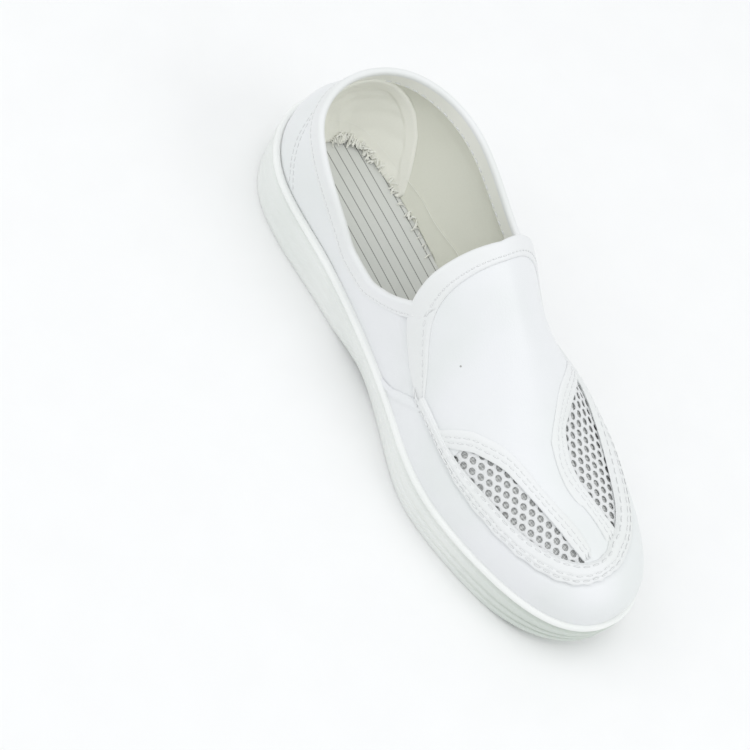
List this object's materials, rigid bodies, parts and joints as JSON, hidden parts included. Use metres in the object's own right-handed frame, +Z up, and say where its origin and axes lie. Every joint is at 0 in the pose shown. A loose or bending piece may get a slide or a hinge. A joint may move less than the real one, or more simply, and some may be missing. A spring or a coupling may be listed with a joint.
{
  "type": "antistatic mesh shoe",
  "caption": "Low white slip-on work shoe for the right foot with a rounded instep tab, mesh windows beside the vamp, a stitched toe guard and a thick moulded off-white sole.",
  "frame": {"origin": "centre of the bounding box at floor level, under the sole", "axes": "+Z up, -Y towards the toe, +Y towards the heel, +X towards the big-toe side of this right shoe"},
  "size_m": [0.0946, 0.275, 0.0957],
  "materials": {
    "sole": "satin moulded off-white",
    "insole_cloth": "matt pale grey with thin dark stripes",
    "upper_leather": "smooth white, soft sheen",
    "trim_leather": "smooth white, stitched",
    "mesh_cloth": "white open mesh over grey"
  },
  "bodies": {
    "root": {"outsole": "sole", "insole": "insole_cloth", "upper_shell": "upper_leather", "toe_guard": "upper_leather", "apron_strip": "trim_leather", "tab_binding": "trim_leather", "collar_binding": "trim_leather", "mesh_window_outer": "mesh_cloth", "mesh_window_inner": "mesh_cloth"}
  },
  "joints": []
}
